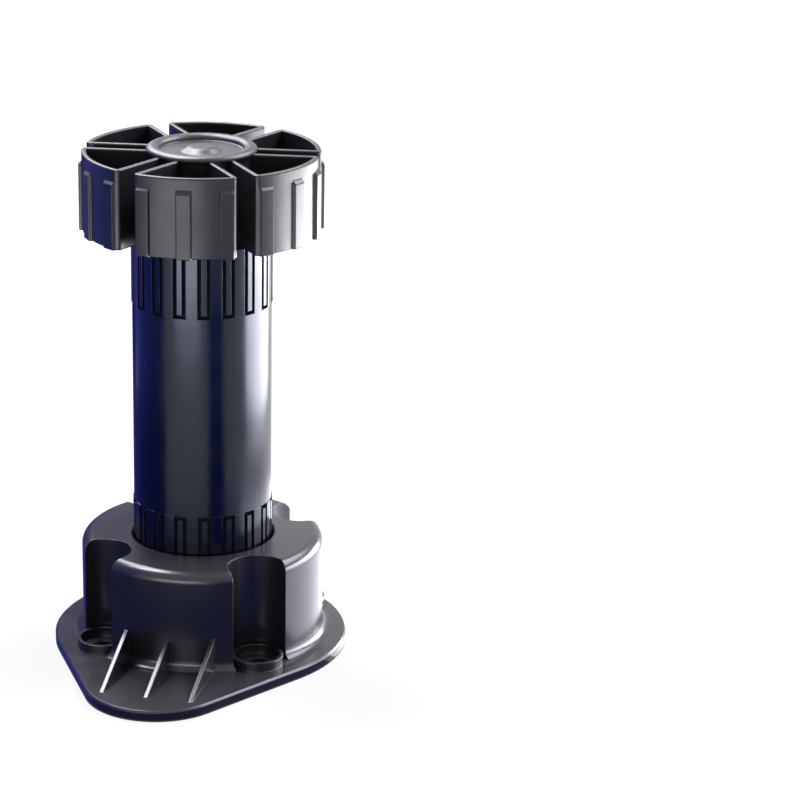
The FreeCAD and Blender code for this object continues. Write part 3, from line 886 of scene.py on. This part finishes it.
def bead_section():
    """Half an ellipse from the hub's side up over the bead and down to the dish."""
    angle = np.linspace(0, math.pi, BEAD_POINTS)
    middle = BEAD_RADIUS - BEAD_WIDTH / 2
    outer = BEAD_TOP - LOBE_HEIGHT
    inner = BEAD_TOP - DISH_LEVEL - DISH_RIM_HEIGHT
    drop = np.where(angle < math.pi / 2, outer, inner)
    across = BEAD_WIDTH / 2 * np.cos(angle)
    return np.stack([middle + across, BEAD_TOP - drop * (1 - np.sin(angle))], axis=1)


def hub_section():
    """The turned section, from the roof of the hollow down, round the spindle's end, up its
    thread and the hub, over the bead and across the dish to the middle of the boss. Each
    corner is given as radius, height and rounding."""
    inside = rounded_line(
        [
            (CORE_FIRST_RING, CORE_TOP, 0),
            (CORE_RADIUS, CORE_TOP, 0.8),
            (CORE_RADIUS, -SPINDLE_LENGTH, 0.3),
            (SPINDLE_RADIUS - SPINDLE_TIP, -SPINDLE_LENGTH, 0.3),
            (SPINDLE_RADIUS, TIP_TOP, 0.2),
            (SPINDLE_RADIUS, THREAD_LOW, 0),
        ]
    )
    thread = np.linspace(THREAD_LOW, THREAD_HIGH, THREAD_POINTS)[1:-1]
    threaded = np.stack([np.full(len(thread), SPINDLE_RADIUS), thread], axis=1)
    outside = rounded_line(
        [
            (SPINDLE_RADIUS, THREAD_HIGH, 0),
            (SPINDLE_RADIUS, 0, 0.25),
            (HUB_RADIUS, 0, 0.2),
            (HUB_RADIUS, HUB_TOP, 0.2),
            (BEAD_RADIUS - BEAD_OVERLAP, BEAD_START, 0),
        ]
    )
    dish = rounded_line(
        [
            (BEAD_RADIUS - BEAD_WIDTH, DISH_LEVEL + DISH_RIM_HEIGHT, 0),
            (BEAD_RADIUS - BEAD_WIDTH - DISH_RIM_WIDTH, DISH_LEVEL, 0.3),
            (BOSS_RADIUS, DISH_LEVEL, 1.0),
            (BOSS_RADIUS - BOSS_SLOPE, DISH_LEVEL + BOSS_HEIGHT, 2.2),
            (BOSS_LAST_RING, DISH_LEVEL + BOSS_HEIGHT, 0),
        ]
    )
    return np.concatenate([inside, threaded, outside, bead_section(), dish])


print("the hub's section has", len(hub_section()), "points")


# %% [markdown]
# The spindle's thread lets the foot be screwed in and out, and it shows once the foot is
# raised. A Screw modifier could wind a small profile round the spindle, but that would be a
# second skin. Instead the section is turned, and on the spindle the radius also follows the
# angle, so that the thread climbs by one pitch in each turn.

# %% Foot hub and spindle
THREAD_PITCH = 3.0
THREAD_DEPTH = 1.05
THREAD_FADE = 2.0
CREST_SHARE = 0.3
FLANK_SHARE = 0.4
HUB_COLUMNS = 240
SAME_RADIUS = 1e-6


def thread_depth(angle, height):
    """Depth of the thread below its crest: a trapezium wave along the height, moved up by one
    pitch in each turn and faded out at both ends."""
    phase = (height / THREAD_PITCH - angle / (2 * math.pi)) % 1.0
    wave = np.abs(phase - 0.5) * 2
    groove = smooth_step((wave - CREST_SHARE) / FLANK_SHARE)
    fade_in = smooth_step((height - THREAD_LOW) / THREAD_FADE)
    fade_out = smooth_step((THREAD_HIGH - height) / THREAD_FADE)
    return THREAD_DEPTH * groove * (fade_in * fade_out)


def turned_rings(radius, angle, height):
    """Rings of points about the leg's axis: radius times cosine and sine, and the height."""
    return np.stack([radius * np.cos(angle), radius * np.sin(angle), height], axis=2)


def build_hub():
    """The section turned about the axis, with the thread's depth taken off the radius between
    the thread's ends, and a pole in the hollow's roof and in the middle of the boss."""
    section = hub_section()
    angle = np.linspace(0, 2 * math.pi, HUB_COLUMNS, endpoint=False)
    height = np.repeat(section[:, 1:], HUB_COLUMNS, axis=1)
    on_spindle = np.abs(section[:, :1] - SPINDLE_RADIUS) < SAME_RADIUS
    between_ends = (height > THREAD_LOW) & (height < THREAD_HIGH)
    cut = np.where(on_spindle & between_ends, thread_depth(angle[None, :], height), 0.0)
    rings = turned_rings(section[:, :1] - cut, angle, height)
    points, faces = closed_rings(rings, [0, 0, section[0, 1]], [0, 0, section[-1, 1]])
    return points + [0, 0, FOOT_LEVEL], faces


foot_hub = add_piece("foot_hub", build_hub(), foot_finish, "foot_body")
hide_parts("adjusting_foot")


# %% [markdown]
# The tube is turned as well, but its two ribbed bands are not: narrow tongues stand in
# U-shaped grooves, twenty degrees apart. Boolean cuts could make the grooves, but would leave
# long thin triangles that shade badly. Here the outer radius is the band's own radius less a
# groove depth, which depends on the angle and the height. The grid's rows and columns stand
# closer together where a band or a groove begins or ends.

# %% Tube bands and grooves
tube_low, tube_high = node_size("leg_tube")
TUBE_LENGTH = tube_high[2] - tube_low[2]
TUBE_RADIUS = 17.3
BAND_STEP = 0.2
BAND_SLOPE = 0.06
LOWER_BAND = 35.5
UPPER_BAND = 17.2
UPPER_BAND_START = TUBE_LENGTH - UPPER_BAND
TONGUE_COUNT = 18
TONGUE_PITCH = 2 * math.pi / TONGUE_COUNT
TONGUE_HALF = 0.7
GROOVE_HALF = 1.6
GROOVE_WIDTH = GROOVE_HALF - TONGUE_HALF
GROOVE_DEPTH = 1.5
GROOVE_EDGE = 0.12
BESIDE_GROOVE = 2.2
END_ROUNDING = 0.3
EDGE_POINTS = 5
MARK_REACH = 0.3
MARK_POINTS = 9
END_POINTS = 6
EVEN_FROM_END = 1.0
EVEN_POINTS = 36
HEIGHT_DIGITS = 4


def tube_angles():
    """Angles round the tube: five across each edge of a groove, and a few between."""
    edge = np.linspace(-GROOVE_EDGE / 2, GROOVE_EDGE / 2, EDGE_POINTS)
    groove_middle = (TONGUE_HALF + GROOVE_HALF) / 2
    across = [[0.0], edge + TONGUE_HALF, [groove_middle], edge + GROOVE_HALF, [BESIDE_GROOVE]]
    right = np.concatenate(across) / (TUBE_RADIUS + BAND_STEP)
    one = np.unique(np.concatenate([-right, right, [TONGUE_PITCH / 2]]))
    return np.concatenate([one + index * TONGUE_PITCH for index in range(TONGUE_COUNT)])


def tube_heights():
    """Heights along the tube: close where a band or a groove ends, wide elsewhere. Heights
    that are the same to four digits are one."""
    fine = np.linspace(-MARK_REACH, MARK_REACH, MARK_POINTS)
    lower_marks = [LOWER_BAND - GROOVE_WIDTH, LOWER_BAND]
    upper_marks = [UPPER_BAND_START, UPPER_BAND_START + GROOVE_WIDTH]
    close = np.concatenate([mark + fine for mark in lower_marks + upper_marks])
    slopes = np.array([LOWER_BAND + BAND_SLOPE, UPPER_BAND_START - BAND_SLOPE])
    ends = END_ROUNDING * (1 - np.cos(np.linspace(0, math.pi / 2, END_POINTS)))
    even = np.linspace(EVEN_FROM_END, TUBE_LENGTH - EVEN_FROM_END, EVEN_POINTS)
    heights = np.concatenate([close, slopes, ends, TUBE_LENGTH - ends, even])
    return np.unique(np.round(heights, HEIGHT_DIGITS))


def band_radius_at(height):
    """Outer radius without grooves: the plain tube, the bands and the rounded ends."""
    lower = np.clip((LOWER_BAND + BAND_SLOPE - height) / BAND_SLOPE, 0, 1)
    upper = np.clip((height - TUBE_LENGTH + UPPER_BAND + BAND_SLOPE) / BAND_SLOPE, 0, 1)
    from_end = np.minimum(height, TUBE_LENGTH - height)
    short = np.clip(END_ROUNDING - from_end, 0, END_ROUNDING)
    rounding = END_ROUNDING - np.sqrt(np.maximum(END_ROUNDING**2 - short**2, 0))
    return TUBE_RADIUS + BAND_STEP * np.maximum(lower, upper) - rounding


def soft_inside(depth):
    """1 inside an edge and 0 outside it, with a soft S across the width of a groove's edge."""
    return smooth_step(depth / GROOVE_EDGE + 0.5)


def groove_depth_at(angle, height):
    """A box round each tongue less the tongue itself, both with soft edges."""
    from_tongue = np.abs((angle + TONGUE_PITCH / 2) % TONGUE_PITCH - TONGUE_PITCH / 2)
    across = from_tongue * (TUBE_RADIUS + BAND_STEP)
    into = np.maximum(LOWER_BAND - height, height - UPPER_BAND_START)
    box = soft_inside(GROOVE_HALF - across) * soft_inside(into)
    tongue = soft_inside(TONGUE_HALF - across) * soft_inside(into - GROOVE_WIDTH)
    return GROOVE_DEPTH * (box - tongue)


print("the tube's grid:", len(tube_heights()), "rows,", len(tube_angles()), "columns")


# %% [markdown]
# The tube's wall is one closed surface: up the outside with its bands and grooves, over the
# upper end, down the smooth bore and back to the lower end. A Solidify modifier could make the
# bore, but it would repeat the grooves inside, where the real tube is plain.

# %% Tube wall
TUBE_ANGLE = math.radians(-1.5)
NOSE_ANGLE = math.pi / 2
TUBE_INSIDE = 14.7
BORE_BEVEL = 0.5


def build_tube():
    """The outer wall from the lower end to the upper, then the inner wall back down."""
    angle = tube_angles()
    height = tube_heights()[:, None]
    outer = band_radius_at(height) - groove_depth_at(angle[None, :], height)
    near_top = TUBE_LENGTH - BORE_BEVEL
    inner_height = np.array([TUBE_LENGTH, near_top, TUBE_LENGTH / 2, BORE_BEVEL, 0.0])[:, None]
    flare = BORE_BEVEL * np.array([1, 0, 0, 0, 1])[:, None]
    inner = np.broadcast_to(TUBE_INSIDE + flare, (len(flare), len(angle)))
    radius = np.concatenate([outer, inner])
    level = np.broadcast_to(np.concatenate([height, inner_height]), radius.shape)
    rings = turned_rings(radius, angle + TUBE_ANGLE - NOSE_ANGLE, level)
    faces = [grid_faces(len(radius), len(angle), True, True)]
    return rings.reshape(-1, 3) + [0, 0, tube_low[2]], faces


tube_wall = add_piece("tube_wall", build_tube(), tube_finish, "tube_body")
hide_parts("leg_tube")


# %% [markdown]
# The cup's shoulder and its foot are round on the real moulding, where the solid has straight
# faces. A Bevel modifier could round them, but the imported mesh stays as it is. So four strips
# carry the true rounding at each place, a hair proud of the solid, and end where the screw
# pockets cut through. A strip is a closed loop: the rounding on the outside, and a way back
# inside the solid, where nobody sees it.

# %% Strips round the cup
POCKET_COUNT = 4
POCKET_HALF = 7.35
POCKET_GAP = 0.01
STRIP_COLUMNS = 41


def build_strip(loop, centre_angle):
    """A loop (radius, height) carried round a quarter of the cup, from one pocket's side to
    the next. The side is a plane at a fixed distance from the pocket's axis, so the angle at
    which the strip ends depends on the radius. Both ends are closed by one flat face."""
    share = np.linspace(-1, 1, STRIP_COLUMNS)[None, :]
    radius = loop[:, :1]
    reach = math.pi / POCKET_COUNT - np.arcsin((POCKET_HALF + POCKET_GAP) / radius)
    angle = centre_angle + share * reach
    rings = turned_rings(radius, angle, np.broadcast_to(loop[:, 1:], angle.shape))
    count = len(loop)
    first_end = np.arange(count) * STRIP_COLUMNS
    last_end = first_end[::-1] + STRIP_COLUMNS - 1
    faces = [grid_faces(count, STRIP_COLUMNS, True, False), first_end[None, :], last_end[None, :]]
    return rings.reshape(-1, 3), faces


def strips_round_cup(outside, way_back):
    """The strip of one quarter, four times round the cup."""
    loop = np.concatenate([outside, way_back])
    quarters = [index * 2 * math.pi / POCKET_COUNT for index in range(POCKET_COUNT)]
    return joined([build_strip(loop, quarter) for quarter in quarters])


print("a strip has", STRIP_COLUMNS, "columns from pocket to pocket")


# %% [markdown]
# The shoulder is an arc from the cup's side to its top, the foot a hollow arc from its side
# out to the plate. Both use one quarter of a circle, the foot turned inside out. Each arc goes
# on for a little at both ends and dives under the solid, so that the light runs on over the
# seam.

# %% Cup shoulder and foot
CUP_RADIUS = 30.5
CUP_HEIGHT = 28.3
SHOULDER = 2.8
ROOT = 2.35
PLATE_TOP = 2.7
PROUD = 0.015
STRIP_DEPTH = 0.3
TAIL = 0.8
SUNK = 0.06
QUARTER_POINTS = 13

quarter_turn = np.linspace(0, math.pi / 2, QUARTER_POINTS)
quarter_arc = on_circle(1.0, quarter_turn)

shoulder_centre = np.array([CUP_RADIUS - SHOULDER, CUP_HEIGHT - SHOULDER])
shoulder_outside = np.vstack(
    [
        (CUP_RADIUS - SUNK, CUP_HEIGHT - SHOULDER - TAIL),
        shoulder_centre + (SHOULDER + PROUD) * quarter_arc,
        (CUP_RADIUS - SHOULDER - TAIL, CUP_HEIGHT - SUNK),
    ]
)
shoulder_back = shoulder_centre + (SHOULDER - STRIP_DEPTH) * quarter_arc[::-1]
shoulder_strips = strips_round_cup(shoulder_outside, shoulder_back)
add_piece("cup_shoulder", shoulder_strips, plate_finish, "plate_body")

root_centre = np.array([CUP_RADIUS + ROOT, PLATE_TOP + ROOT])
root_outside = np.vstack(
    [
        (CUP_RADIUS - SUNK, PLATE_TOP + ROOT + TAIL),
        root_centre - (ROOT - PROUD) * quarter_arc,
        (CUP_RADIUS + ROOT + TAIL, PLATE_TOP - SUNK),
    ]
)
root_back = np.array(
    [
        (CUP_RADIUS + ROOT, PLATE_TOP - STRIP_DEPTH),
        (CUP_RADIUS - STRIP_DEPTH, PLATE_TOP - STRIP_DEPTH),
        (CUP_RADIUS - STRIP_DEPTH, PLATE_TOP + ROOT),
    ]
)
root_strips = strips_round_cup(root_outside, root_back)
add_piece("cup_foot", root_strips, plate_finish, "plate_body")
